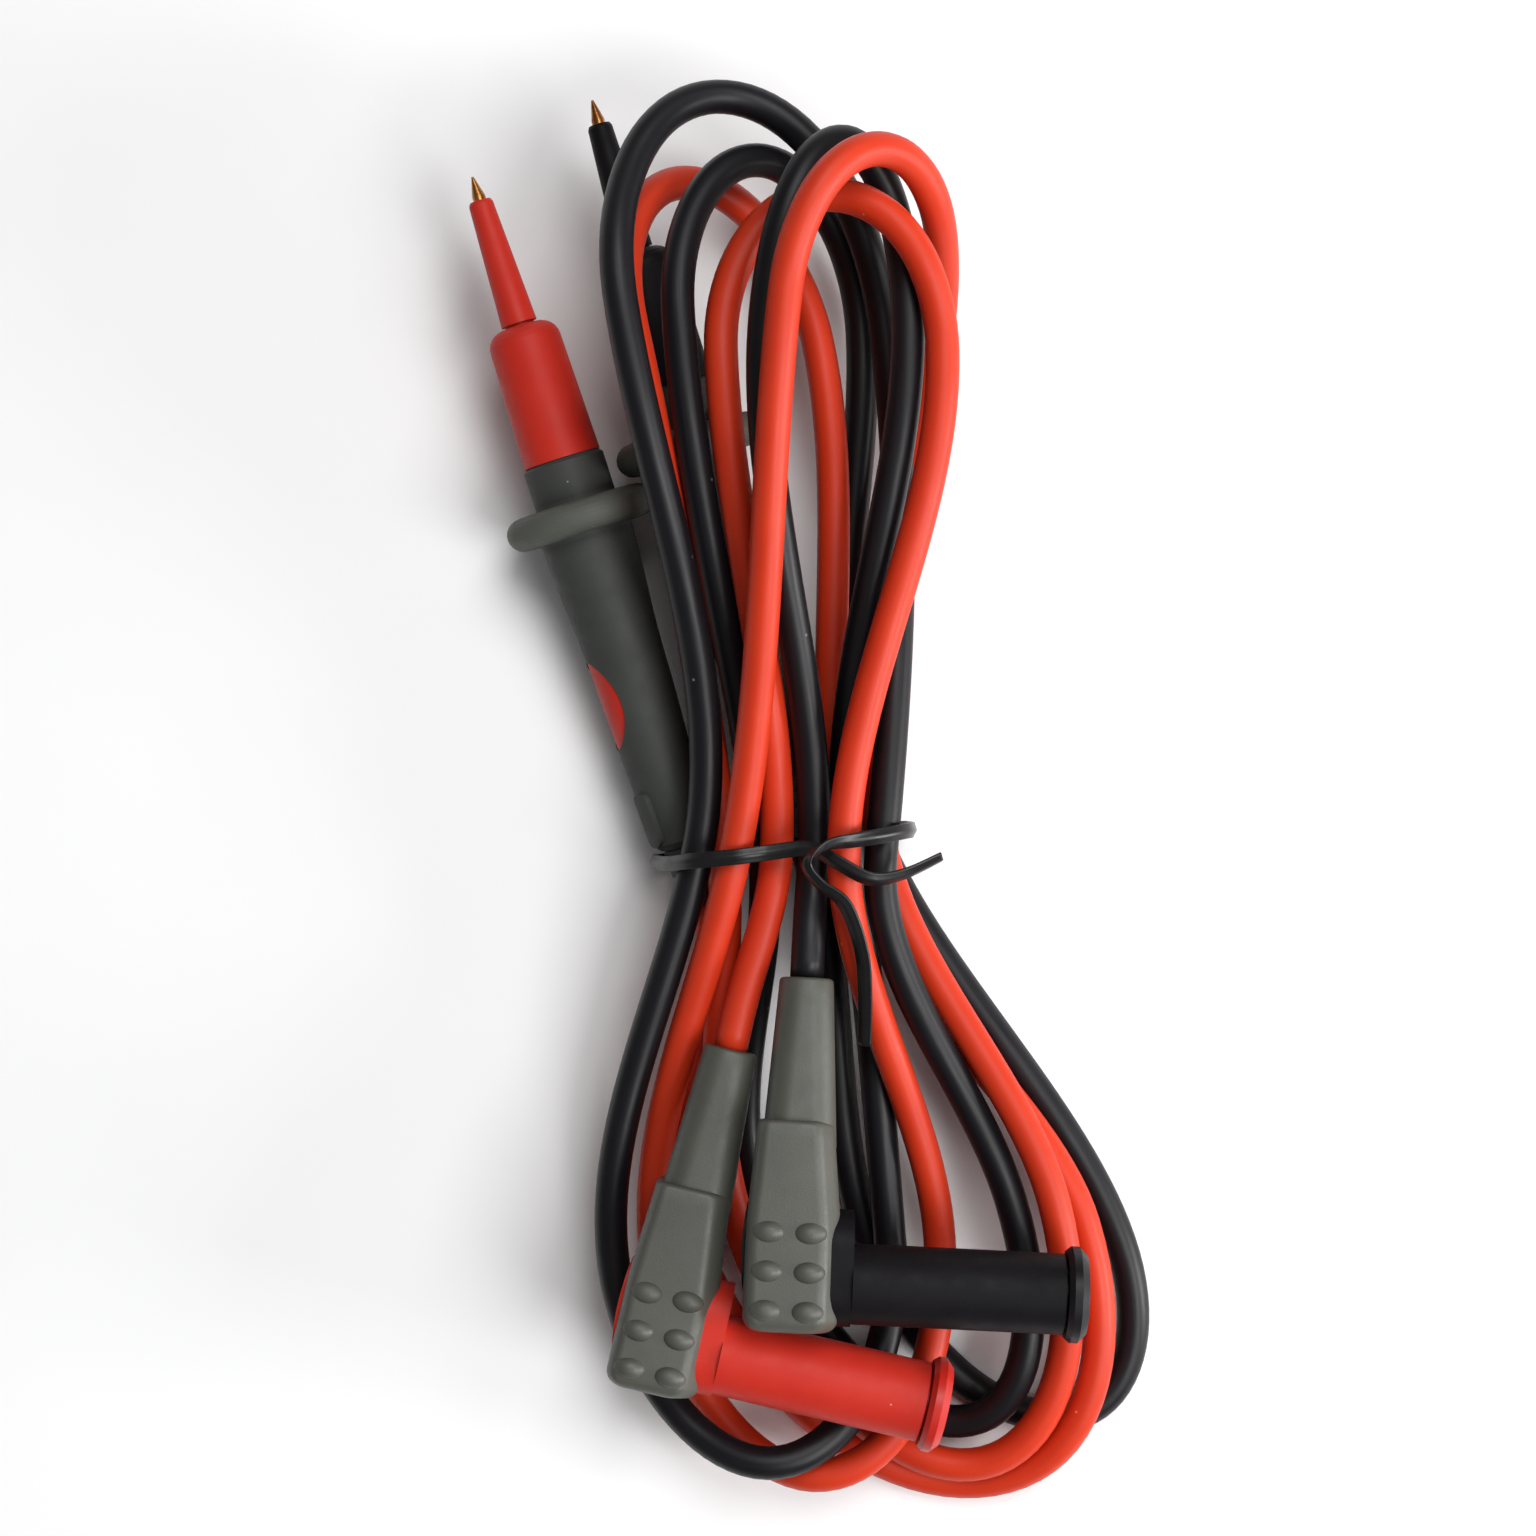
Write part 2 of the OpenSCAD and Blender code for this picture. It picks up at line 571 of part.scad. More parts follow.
module plug_grip() {
    difference() {
        union() {
            grip_block();
            for (x = bump_rows) {
                for (y = bump_steps) {
                    translate([x, y, grip_t / 2 - 0.05]) grip_bump();
                    rotate([0, 180, 0]) translate([-x, y, grip_t / 2 - 0.05]) grip_bump();
                }
            }
        }
        across_grip(-block_in - fit_gap, grip_w) block_shape(fit_gap);
        across_grip(-grip_w, -block_in) back_shape(fit_gap);
        along_tail() cylinder(d = crimp_d + 2 * fit_gap, h = tail_at);
        tail_block(fit_gap);
    }
}

module plug_tail() {
    difference() {
        tail_block(0);
        along_tail() cylinder(d = conductor_hole, h = tail_end + 1);
    }
}

module plug_ferrule() {
    along_tail() rotate_extrude() polygon([[0, plug_crimp_at], [crimp_d / 2, plug_crimp_at],
        [crimp_d / 2, plug_crimp_end - 0.5], [conductor_d / 2, plug_crimp_end - 0.5],
        [conductor_d / 2, tail_end], [0, tail_end]]);
}

module plug_cap() {
    bore = cap_tube_bore / 2;
    rim = flange_d / 2;
    end = cap_mouth + flange_t;
    tube_at = shroud_reach - cap_tube_len;
    along_pin() rotate_extrude() polygon([[bore, tube_at], [cap_tube_d / 2, tube_at],
        [cap_tube_d / 2, cap_mouth], [rim - 0.5, cap_mouth], [rim, cap_mouth + 0.6], [rim, end - 0.9],
        [rim - 0.9, end], [0, end], [0, end - 1], [bore, end - 1]]);
}

// Nodes

module red_probe_needle() { color(gold) at_probe(0) probe_needle(); }
module red_tip_sleeve() { color(red_moulding) at_probe(0) tip_sleeve(); }
module red_probe_core() { color(red_moulding) at_probe(0) probe_core(); }
module red_probe_grip() { color(grip_grey) at_probe(0) probe_grip(); }
module red_probe_boot() { color(grip_grey) at_probe(0) probe_boot(); }
module red_probe_ferrule() { color(nickel) at_probe(0) probe_ferrule(); }
module red_plug_pin() { color(nickel) at_plug(0) plug_pin(); }
module red_plug_spring() { color(gold) at_plug(0) plug_spring(); }
module red_plug_body() { color(red_moulding) at_plug(0) plug_body(); }
module red_plug_grip() { color(plug_grey) at_plug(0) plug_grip(); }
module red_plug_tail() { color(plug_grey) at_plug(0) plug_tail(); }
module red_plug_ferrule() { color(nickel) at_plug(0) plug_ferrule(); }
module red_plug_cap() { color(red_moulding) at_plug(0) plug_cap(); }
module black_probe_needle() { color(gold) at_probe(1) probe_needle(); }
module black_tip_sleeve() { color(black_moulding) at_probe(1) tip_sleeve(); }
module black_probe_core() { color(black_moulding) at_probe(1) probe_core(); }
module black_probe_grip() { color(grip_grey) at_probe(1) probe_grip(); }
module black_probe_boot() { color(grip_grey) at_probe(1) probe_boot(); }
module black_probe_ferrule() { color(nickel) at_probe(1) probe_ferrule(); }
module black_plug_pin() { color(nickel) at_plug(1) plug_pin(); }
module black_plug_spring() { color(gold) at_plug(1) plug_spring(); }
module black_plug_body() { color(black_moulding) at_plug(1) plug_body(); }
module black_plug_grip() { color(plug_grey) at_plug(1) plug_grip(); }
module black_plug_tail() { color(plug_grey) at_plug(1) plug_tail(); }
module black_plug_ferrule() { color(nickel) at_plug(1) plug_ferrule(); }
module black_plug_cap() { color(black_moulding) at_plug(1) plug_cap(); }

module red_cable() {
    route = cable_route(0);
    echo(red_cable_least_gap = self_gap(split(route, 3), cable_d, 7));
    color(red_jacket) tube(route, cable_d, cable_sides);
}

module black_cable() {
    route = cable_route(1);
    echo(black_cable_least_gap = self_gap(split(route, 3), cable_d, 7));
    color(black_jacket) tube(route, cable_d, cable_sides);
}

module twist_tie() {
    route = smooth(tie_route, tie_steps);
    echo(twist_tie_least_gap = self_gap(route, tie_d, 6));
    color(black_jacket) tube(route, tie_d, tie_sides);
}

red_probe_needle();
red_tip_sleeve();
red_probe_core();
red_probe_grip();
red_probe_boot();
red_probe_ferrule();
red_cable();
red_plug_pin();
red_plug_spring();
red_plug_body();
red_plug_grip();
red_plug_tail();
red_plug_ferrule();
red_plug_cap();
black_probe_needle();
black_tip_sleeve();
black_probe_core();
black_probe_grip();
black_probe_boot();
black_probe_ferrule();
black_cable();
black_plug_pin();
black_plug_spring();
black_plug_body();
black_plug_grip();
black_plug_tail();
black_plug_ferrule();
black_plug_cap();
twist_tie();
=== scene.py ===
"""A pair of test leads, red and black, folded into a hank and held by a twist tie."""

import math

import bmesh
import bpy
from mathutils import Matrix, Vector


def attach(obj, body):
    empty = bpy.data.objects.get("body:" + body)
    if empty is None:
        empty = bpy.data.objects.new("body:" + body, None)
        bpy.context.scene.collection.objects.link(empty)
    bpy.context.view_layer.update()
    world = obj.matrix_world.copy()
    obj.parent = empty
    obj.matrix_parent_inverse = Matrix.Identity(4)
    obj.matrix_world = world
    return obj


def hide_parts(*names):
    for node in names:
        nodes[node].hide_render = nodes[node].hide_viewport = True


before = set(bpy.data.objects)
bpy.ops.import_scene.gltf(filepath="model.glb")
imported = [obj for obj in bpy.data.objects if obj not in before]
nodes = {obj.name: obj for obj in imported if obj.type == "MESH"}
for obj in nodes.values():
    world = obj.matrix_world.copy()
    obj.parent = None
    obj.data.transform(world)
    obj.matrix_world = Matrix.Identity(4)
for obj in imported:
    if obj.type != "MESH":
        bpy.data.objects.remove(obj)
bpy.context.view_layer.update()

MM = 0.001
LEADS = ("red", "black")

# Where the four ends of the leads lie, in millimetres and degrees, as in the part's source
CABLE_D = 4.0
CABLE_STRAIGHT = 4.0
PROBE_LEN = 92.2
GUARD_AT = 42.7
GUARD_D = 18.6
PROBE_PITCH = 5.0
PROBE_BACK = [(-7.9, -16.6), (4.2, -8.1)]
PROBE_TURN = [17.5, 16.0]
PLUG_AXIS = [(-12.5, -68.1, 16.6), (2.9, -60.2, 20.5)]
PLUG_TURN = [-13.1, -2.8]
PLUG_PITCH = [4.0, 7.0]

# Tail of a plug, from its root inside the grip to the lip round the cable
TAIL_END = 35.5
TAIL_LEN = 16.8
TAIL_ROOT = 3.0
TAIL_ROOT_W = 8.8
TAIL_END_W = 6.4
TAIL_CORNER = 3.0
TAIL_LIP = 0.4
TAIL_STEPS = 12

# Grip of a plug: (y, left edge, right edge) of its plan, then its bevels (width, height) and its bumps
GRIP_PLAN = [(-5.8, -5.7, 5.4), (0.5, -5.8, 5.4), (6.5, -5.8, 5.3), (18.7, -5.0, 4.0)]
GRIP_T = 10.6
GRIP_LOW_R = 1.8
GRIP_TOP_R = 0.6
GRIP_EDGE_LEFT = (0.8, 1.5)
GRIP_EDGE_RIGHT = (1.9, 2.6)
GRIP_EDGE_R = 0.9
GRIP_STEPS = 16
BUMP_ROWS = (-3.1, 1.7)
BUMP_STEPS = (-3.2, 1.3, 5.8)
BUMP_LEN = 4.0
BUMP_W = 2.8
BUMP_H = 0.75
BUMP_RINGS = 12
BUMP_SIDES = 32
BUMP_SUNK = math.radians(100)
SHARP = math.radians(40)

# The hank. A pass through the tie has (x, z, sideways slope, rise), and a bend has
# (centre x, half width, reach in y, depth, lean, five heights from entry to exit).
TIE_Y = -10.5
ON_TABLE = CABLE_D / 2 + 0.1
PASSES = [
    [
        (1, 13.5, 0.05, 0),
        (9, 17, 0, 0),
        (-4, 16, 0.2, 0.15),
        (14, 8.5, -0.2, -0.05),
        (-5.5, 9, -0.1, -0.1),
        (9.5, 5.5, -0.2, 0.15),
    ],
    [
        (5.5, 13.5, 0.05, 0),
        (10, 10, -0.15, 0.1),
        (-8.5, 13, 0.2, 0.05),
        (13.5, 14.5, 0.1, -0.05),
        (-0.5, 9.5, -0.1, 0.05),
        (14, 4, -0.45, -0.1),
    ],
]
TOPS = [
    [
        (7.5, 13, 67, 18, -0.5, (22.5, 22, 22, 23, 20.5)),
        (11.5, 9.5, 71, 16.5, 2, (31, 32, 27.5, 20, 6.5)),
        (-5, 11, 70.5, 18.5, -4, (22.5, 18, 12, 8, 8.5)),
    ],
    [
        (8, 8.5, 73, 24, 1, (25.5, 26.5, 22.5, 18.5, 18.5)),
        (-1.5, 15.5, 79.5, 25, -3.5, (28.5, 23, 17.5, 15, 10)),
        (0.5, 11, 72.5, 19, -1, (23, 20, 15, 8, 5.5)),
    ],
]
BOTTOMS = [
    [
        (3.5, -17.5, -86, 28.5, 2, (6.5, 9, 9, 4, 6.5)),
        (15, -19.5, -85.5, 33, 8.5, (12, 9, 6, 4.5, 7)),
        (14, -24.5, -88.5, 33, 10, (8, 7, 2.5, ON_TABLE, ON_TABLE)),
    ],
    [
        (-2, -17, -83.5, 25, 2, (6.5, 10, 13, 9, 8.5)),
        (14, -15.5, -80.5, 28, 8.5, (9, 9, 4.5, ON_TABLE, 3)),
        (28, -15.5, -80.5, 22, 7.5, (3.5, 2.5, ON_TABLE, ON_TABLE, ON_TABLE)),
    ],
]
LEG_STEPS = 28
BEND_STEPS = 40
CABLE_SIDES = 20

# The twist tie: first tail, round the bundle, then the second tail
TIE_LOW = 0.8
TIE_ROUTE = [
    (20.5, -10.5, 18), (16, -12.5, 19), (12, -13, 20.5), (8, -11, 20.5), (5, -9.5, 19),
    (0, -10, 18.5), (-4, -10.5, 19), (-9, -11, 17.5), (-12, -11.5, 13), (-14, -11.5, 6.5),
    (-13, -11.5, 3), (-9.5, -11, 1.5), (0, -10, TIE_LOW), (9, -8.5, TIE_LOW), (14, -8, TIE_LOW),
    (16.5, -7.5, 2), (17.5, -7.5, 6), (17.5, -7.5, 10.5), (16.5, -7.5, 15.5), (13.5, -8, 18.5),
    (10, -8.5, 20.5), (7, -9, 22), (4.5, -11, 22), (6, -13.5, 21.5), (9, -16, 21), (11, -21.5, 19.5),
    (11.5, -27, 17.5), (11.5, -33, 15.5),
]
TIE_STEPS = 10
TIE_WIDE = 1.9
TIE_THICK = 1.0
TIE_EDGE = 0.5
TIE_SIDES = 24
# The way that the ribbon's width points, by number of the route's point
TIE_FACES = [
    (0, (0.1, 0.6, 0.8)),
    (3, (0.2, 1, 0.5)),
    (5, (0.1, 1, 0)),
    (19, (0.1, 1, 0)),
    (21, (0.2, 0.7, 0.7)),
    (22, (0.6, 0, 0.8)),
    (24, (0.8, 0.3, 0.5)),
    (27, (0.8, 0, 0.6)),
]

# Studio: camera straight above the hank, and lights as (name, place, aim, size, power), in metres
CAMERA_HEIGHT = 0.340
PHOTO_SIDE = 1536
FOCAL_PIXELS = 2722
SENSOR = 36.0
HALF_FLOOR = 3.0
FLOOR_ROUGH = 0.85
LIGHTS = [
    ("key", (0.50, -0.26, 0.72), (0, 0, 0), 0.45, 5.2),
    ("top", (0.20, 0.44, 0.88), (0, 0, 0), 0.5, 4.8),
    ("side", (0.88, -0.16, 0.26), (0, 0, 0.01), 0.3, 5.5),
]
SKY = 0.18

# Materials: scales of the noises in features per metre, dust by pitch and share, heights in metres
MOTTLE_SCALE = 140
WEAR_SCALE = 420
WAVE_SCALE = 230
GRAIN_SCALE = 5200
DUST_PITCH = 0.0016
DUST_SHARE = 0.04
JACKET_DUST_PITCH = 0.0022
JACKET_STRETCH = (90, 26, 1)
# Band along the probe's axis, each side of the guard, painted paler: finger wear, and a painted highlight
# on the raised guard
GUARD_WEAR_AND_HIGHLIGHT_BAND = (0.0016, 0.0026)


# Route


def turned(angle, pitch_rise):
    """Unit direction in the shared frame of an axis that turns about Z and rises."""
    flat = math.cos(math.radians(pitch_rise))
    return Vector((
        -math.sin(math.radians(angle)) * flat,
        math.cos(math.radians(angle)) * flat,
        math.sin(math.radians(pitch_rise)),
    ))


def plug_dir(i):
    return turned(PLUG_TURN[i], -PLUG_PITCH[i])


def probe_dir(i):
    return turned(PROBE_TURN[i], PROBE_PITCH)


def probe_end(i):
    height = GUARD_D / 2 - (PROBE_LEN - GUARD_AT) * math.sin(math.radians(PROBE_PITCH))
    return Vector((*PROBE_BACK[i], height))


def ease(a, b, slope_a, slope_b, run, t):
    return (
        (2 * t**3 - 3 * t**2 + 1) * a
        + (t**3 - 2 * t**2 + t) * run * slope_a
        + (3 * t**2 - 2 * t**3) * b
        + (t**3 - t**2) * run * slope_b
    )


def leg(a, b, steps, first):
    """Points of a run between two stations (x, y, z, sideways slope, rise)."""
    run = b[1] - a[1]
    points = []
    for i in range(first, steps + 1):
        t = i / steps
        x = ease(a[0], b[0], a[3], b[3], run, t)
        z = ease(a[2], b[2], a[4], b[4], run, t)
        points.append(Vector((x, a[1] + run * t, z)))
    return points


def bend_height(h, u):
    k = min(int(u), 3)
    start = 0 if k == 0 else (h[k + 1] - h[k - 1]) / 2
    end = 0 if k == 3 else (h[k + 2] - h[k]) / 2
    return ease(h[k], h[k + 1], start, end, 1, u - k)


def bend(b, up):
    points = []
    for i in range(1, BEND_STEPS):
        a = math.pi * i / BEND_STEPS
        x = b[0] - b[1] * math.cos(a) + b[4] * math.sin(a)
        y = b[2] - up * b[3] * (1 - math.sin(a))
        points.append(Vector((x, y, bend_height(b[5], 4 * i / BEND_STEPS))))
    return points


def bend_in(b, up):
    return (b[0] - b[1], b[2] - up * b[3], b[5][0], up * b[4] / b[3], 0)


def bend_out(b, up):
    return (b[0] + b[1], b[2] - up * b[3], b[5][4], up * b[4] / b[3], 0)


def tie_pass(p):
    return (p[0], TIE_Y, p[1], p[2], p[3])


def station(p, d):
    return (p[0], p[1], p[2], d[0] / d[1], d[2] / d[1])


def cable_route(i):
    """Centreline of a lead, from the plug's tail to the probe's boot, in millimetres."""
    start = Vector(PLUG_AXIS[i]) + TAIL_END * plug_dir(i)
    out = start + CABLE_STRAIGHT * plug_dir(i)
    end = probe_end(i)
    near = end - CABLE_STRAIGHT * probe_dir(i)
    passes = [tie_pass(p) for p in PASSES[i]]
    points = [start, (start + out) / 2, out]
    points += leg(station(out, plug_dir(i)), passes[0], LEG_STEPS, 1)
    for k in range(3):
        top, bottom = TOPS[i][k], BOTTOMS[i][k]
        points += leg(passes[2 * k], bend_in(top, 1), LEG_STEPS, 1)
        points += bend(top, 1)
        points += leg(bend_out(top, 1), passes[2 * k + 1], LEG_STEPS, 0)
        points += leg(passes[2 * k + 1], bend_in(bottom, -1), LEG_STEPS, 1)
        points += bend(bottom, -1)
        if k < 2:
            points += leg(bend_out(bottom, -1), passes[2 * k + 2], LEG_STEPS, 0)
    points += leg(bend_out(BOTTOMS[i][2], -1), station(near, probe_dir(i)), LEG_STEPS, 0)
    return points + [(near + end) / 2, end]


def smooth(points, steps):
    """A smooth line through given points."""
    p = [Vector(q) for q in points]
    n = len(p) - 1
    line = []
    for k in range(n):
        before = (p[k + 1] - p[max(k - 1, 0)]) / 2
        after = (p[min(k + 2, n)] - p[k]) / 2
        line += [ease(p[k], p[k + 1], before, after, 1, i / steps) for i in range(steps)]
    return line + [p[n]]


# Meshes


def new_object(name, verts, faces, uvs=None):
    mesh = bpy.data.meshes.new(name)
    mesh.from_pydata(verts, [], faces)
    if uvs:
        layer = mesh.uv_layers.new(name="UVMap")
        for face in mesh.polygons:
            for loop, uv in zip(face.loop_indices, uvs[face.index]):
                layer.data[loop].uv = uv
    for face in mesh.polygons:
        face.use_smooth = True
    obj = bpy.data.objects.new(name, mesh)
    bpy.context.scene.collection.objects.link(obj)
    return obj


def joined(obj, others):
    """One object from several, each a closed skin of its own."""
    mesh = bmesh.new()
    for part in (obj, *others):
        mesh.from_mesh(part.data)
    for part in others:
        data = part.data
        bpy.data.objects.remove(part)
        bpy.data.meshes.remove(data)
    bmesh.ops.recalc_face_normals(mesh, faces=mesh.faces)
    mesh.to_mesh(obj.data)
    mesh.free()
    obj.data.set_sharp_from_angle(angle=SHARP)
    return obj


def sweep(name, line, outline, wide_way=None):
    """A tube along a line with the given ring outline, closed by flat ends.

    wide_way(i) gives the outline's first axis at each point; without it the ring
    doesn't twist. UVs run along the line in metres and once round the ring.
    """
    n, sides = len(line), len(outline)
    along = [(line[min(i + 1, n - 1)] - line[max(i - 1, 0)]).normalized() for i in range(n)]
    side = along[0].cross(Vector((0.3, 0.2, 1.0))).normalized()
    verts, travel, travelled = [], [], 0.0
    for i, at in enumerate(line):
        side = wide_way(i) if wide_way else side
        side = (side - along[i] * side.dot(along[i])).normalized()
        up = along[i].cross(side)
        verts += [at + side * a + up * b for a, b in outline]
        travelled += (at - line[max(i - 1, 0)]).length
        travel.append(travelled)
    faces, uvs = [], []
    for i in range(n - 1):
        for k in range(sides):
            a, b = i * sides + k, i * sides + (k + 1) % sides
            faces.append((a, b, b + sides, a + sides))
            u0, u1, v0, v1 = travel[i], travel[i + 1], k / sides, (k + 1) / sides
            uvs.append([(u0, v0), (u0, v1), (u1, v1), (u1, v0)])
    for end, out in ((0, -1), (n - 1, 1)):
        middle = len(verts)
        verts.append(line[end])
        for k in range(sides):
            a, b = end * sides + k, end * sides + (k + 1) % sides
            faces.append((b, a, middle) if out < 0 else (a, b, middle))
            uvs.append([(travel[end], 0.0)] * 3)
    return new_object(name, verts, faces, uvs)


def loft(name, rings):
    """A closed skin through rings of equally many points, with flat ends."""
    sides = len(rings[0])
    verts = [v for r in rings for v in r]
    faces = []
    for i in range(len(rings) - 1):
        for k in range(sides):
            a, b = i * sides + k, i * sides + (k + 1) % sides
            faces.append((a, b, b + sides, a + sides))
    last = (len(rings) - 1) * sides
    faces.append(tuple(reversed(range(sides))))
    faces.append(tuple(range(last, last + sides)))
    return new_object(name, verts, faces)


def rounded_square(width, corner, steps):
    """Outline of a square with round corners."""
    reach = width / 2 - corner
    points = []
    for quarter, (sx, sy) in enumerate(((1, 1), (-1, 1), (-1, -1), (1, -1))):
        for k in range(steps + 1):
            turn = math.pi / 2 * (quarter + k / steps)
            points.append((sx * reach + corner * math.cos(turn), sy * reach + corner * math.sin(turn)))
    return points


def softened(corners, radius, steps):
    """A closed outline with each corner rounded."""
    points = []
    n = len(corners)
    for k in range(n):
        at = Vector(corners[k])
        back = Vector(corners[k - 1]) - at
        on = Vector(corners[(k + 1) % n]) - at
        reach = min(radius, back.length * 0.45, on.length * 0.45)
        a, b = at + back.normalized() * reach, at + on.normalized() * reach
        for j in range(steps + 1):
            t = j / steps
            points.append(a * (1 - t) ** 2 + at * 2 * t * (1 - t) + b * t**2)
    return points


def ring(radius, sides):
    turn = 2 * math.pi / sides
    return [(radius * math.cos(turn * k), radius * math.sin(turn * k)) for k in range(sides)]


def ribbon(wide, thick, edge, sides):
    """Outline of a flat strip with round edges and the ridge of a wire along its middle."""
    points = []
    for k in range(sides):
        turn = 2 * math.pi * k / sides
        c, s = math.cos(turn), math.sin(turn)
        x = wide / 2 * math.copysign(abs(c) ** 0.8, c)
        ridge = edge + (thick - edge) * math.exp(-((x / (wide * 0.22)) ** 2))
        points.append((x, ridge / 2 * math.copysign(abs(s) ** 0.5, s)))
    return points


# Materials


class Look:
    """A procedural material under construction, with helpers that add and link nodes."""

    def __init__(self, name):
        self.material = bpy.data.materials.new(name)
        self.material.use_nodes = True
        self.tree = self.material.node_tree
        self.shader = self.tree.nodes["Principled BSDF"]
        self.place = self.add("ShaderNodeTexCoord").outputs["Object"]

    def add(self, kind, **settings):
        node = self.tree.nodes.new(kind)
        for key, value in settings.items():
            setattr(node, key, value)
        return node

    def link(self, source, target):
        self.tree.links.new(source, target)

    def noise(self, scale, detail=3.0, roughness=0.55, place=None):
        node = self.add("ShaderNodeTexNoise")
        node.inputs["Scale"].default_value = scale
        node.inputs["Detail"].default_value = detail
        node.inputs["Roughness"].default_value = roughness
        self.link(place or self.place, node.inputs["Vector"])
        return node.outputs["Fac"]

    def spread(self, value, low, high, to_low, to_high):
        node = self.add("ShaderNodeMapRange")
        for key, number in zip(("From Min", "From Max", "To Min", "To Max"), (low, high, to_low, to_high)):
            node.inputs[key].default_value = number
        self.link(value, node.inputs["Value"])
        return node.outputs["Result"]

    def math(self, operation, a, b):
        node = self.add("ShaderNodeMath", operation=operation)
        for socket, value in zip(node.inputs, (a, b)):
            if isinstance(value, (int, float)):
                socket.default_value = value
            else:
                self.link(value, socket)
        return node.outputs["Value"]

    def mix(self, amount, a, b):
        node = self.add("ShaderNodeMix", data_type="RGBA")
        self.link(amount, node.inputs["Factor"])
        for socket, value in ((node.inputs[6], a), (node.inputs[7], b)):
            if isinstance(value, tuple):
                socket.default_value = (*value, 1.0)
            else:
                self.link(value, socket)
        return node.outputs[2]

    def specks(self, pitch, share):
        """Small round specks of dust, a share of them left after a random choice."""
        node = self.add("ShaderNodeTexVoronoi")
        node.inputs["Scale"].default_value = 1.0 / pitch
        self.link(self.place, node.inputs["Vector"])
        near = self.spread(node.outputs["Distance"], 0.05, 0.1, 1.0, 0.0)
        split = self.add("ShaderNodeSeparateColor")
        self.link(node.outputs["Color"], split.inputs["Color"])
        chosen = self.math("LESS_THAN", split.outputs["Red"], share)
        return self.math("MULTIPLY", near, chosen)

    def bump(self, height, strength, distance, normal=None):
        node = self.add("ShaderNodeBump")
        node.inputs["Strength"].default_value = strength
        node.inputs["Distance"].default_value = distance
        self.link(height, node.inputs["Height"])
        if normal is not None:
            self.link(normal, node.inputs["Normal"])
        return node.outputs["Normal"]

    def colour(self, output):
        self.link(output, self.shader.inputs["Base Color"])

    def roughness(self, output):
        self.link(output, self.shader.inputs["Roughness"])

    def normal(self, output):
        self.link(output, self.shader.inputs["Normal"])


def linear(r, g, b):
    """A screen colour, 0 to 255, as the linear values that a shader takes."""
    out = []
    for c in (r, g, b):
        c /= 255
        out.append(c / 12.92 if c <= 0.04045 else ((c + 0.055) / 1.055) ** 2.4)
    return tuple(out)


def finished(look, body, dust, rough, grain, specular):
    """Dust on the body colour, handling wear, fine grain and a slow waviness."""
    look.colour(look.mix(look.specks(DUST_PITCH, DUST_SHARE), body, dust))
    look.roughness(look.spread(look.noise(WEAR_SCALE, 5), 0.3, 0.7, rough - 0.07, rough + 0.09))
    fine = look.bump(look.noise(GRAIN_SCALE, 2), grain, 0.00005)
    look.normal(look.bump(look.noise(WAVE_SCALE, 3), 0.12, 0.0002, fine))
    look.shader.inputs["Specular IOR Level"].default_value = specular
    return look.material


def moulded(name, base, worn, dust, rough, grain, specular):
    """Moulded plastic or rubber, slowly mottled."""
    look = Look(name)
    mottle = look.spread(look.noise(MOTTLE_SCALE, 4), 0.3, 0.7, 0.0, 1.0)
    return finished(look, look.mix(mottle, base, worn), dust, rough, grain, specular)


def guarded(name, i, base, worn, guard, dust, rough, grain, specular):
    """Rubber of a probe's grip, paler on the guard: finger wear, and a painted highlight where the raised
    guard catches the light.
    """
    look = Look(name)
    mottle = look.spread(look.noise(MOTTLE_SCALE, 4), 0.3, 0.7, 0.0, 1.0)
    body = look.mix(mottle, base, worn)
    from_end = look.add("ShaderNodeVectorMath", operation="SUBTRACT")
    from_end.inputs[1].default_value = probe_end(i) * MM
    look.link(look.place, from_end.inputs[0])
    along = look.add("ShaderNodeVectorMath", operation="DOT_PRODUCT")
    along.inputs[1].default_value = probe_dir(i)
    look.link(from_end.outputs["Vector"], along.inputs[0])
    past_guard = look.math("SUBTRACT", along.outputs["Value"], (PROBE_LEN - GUARD_AT) * MM)
    off = look.math("ABSOLUTE", past_guard, 0)
    # The guard painted paler: finger wear, and a painted highlight on the raised guard
    on_guard = look.spread(off, *GUARD_WEAR_AND_HIGHLIGHT_BAND, 1.0, 0.0)
    wear_and_highlight = look.math("MULTIPLY", on_guard, look.spread(mottle, 0, 1, 0.75, 1.0))
    return finished(look, look.mix(wear_and_highlight, body, guard), dust, rough, grain, specular)


def jacket(name, base, shade, dust, rough, specular):
    """Soft cable jacket: mottling, a faint lengthwise grain from the drawing die, specks of dust."""
    look = Look(name)
    uv = look.add("ShaderNodeUVMap", uv_map="UVMap").outputs["UV"]
    stretch = look.add("ShaderNodeVectorMath", operation="MULTIPLY")
    stretch.inputs[1].default_value = JACKET_STRETCH
    look.link(uv, stretch.inputs[0])
    streaks = look.noise(1.0, 3, place=stretch.outputs["Vector"])
    mottle = look.spread(look.noise(90, 4), 0.3, 0.7, 0.0, 1.0)
    body = look.mix(mottle, base, shade)
    body = look.mix(look.specks(JACKET_DUST_PITCH, DUST_SHARE), body, dust)
    look.colour(body)
    look.roughness(look.spread(streaks, 0.3, 0.7, rough - 0.06, rough + 0.08))
    fine = look.bump(look.noise(3600, 2), 0.08, 0.00004)
    drawn = look.bump(streaks, 0.18, 0.00006, fine)
    look.normal(look.bump(look.noise(160, 2), 0.1, 0.0002, drawn))
    look.shader.inputs["Specular IOR Level"].default_value = specular
    return look.material


